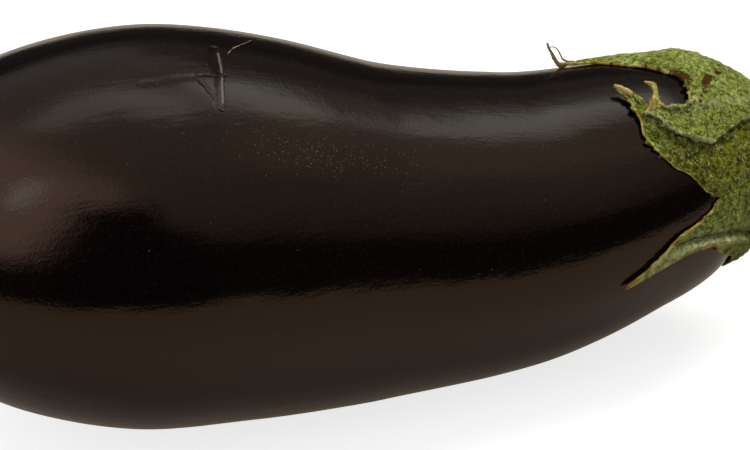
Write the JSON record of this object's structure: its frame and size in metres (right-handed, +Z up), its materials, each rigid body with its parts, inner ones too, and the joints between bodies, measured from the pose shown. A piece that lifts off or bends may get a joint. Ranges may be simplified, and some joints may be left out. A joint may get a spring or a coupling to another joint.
{
  "type": "eggplant",
  "caption": "Large globe eggplant with glossy purple-black skin, green calyx and cut stem, lying on its side.",
  "frame": {"origin": "on the small flat spot in the underside that the fruit rests on, below its centre of mass", "axes": "+X from the blossom end towards the stem, +Z up, away from the surface that it lies on"},
  "size_m": [0.2428, 0.0832, 0.0837],
  "materials": {
    "skin": "waxy gloss",
    "calyx": "downy matte",
    "stem": "downy matte"
  },
  "bodies": {
    "root": {"fruit": "skin", "calyx": "calyx", "stem": "stem"}
  },
  "joints": []
}
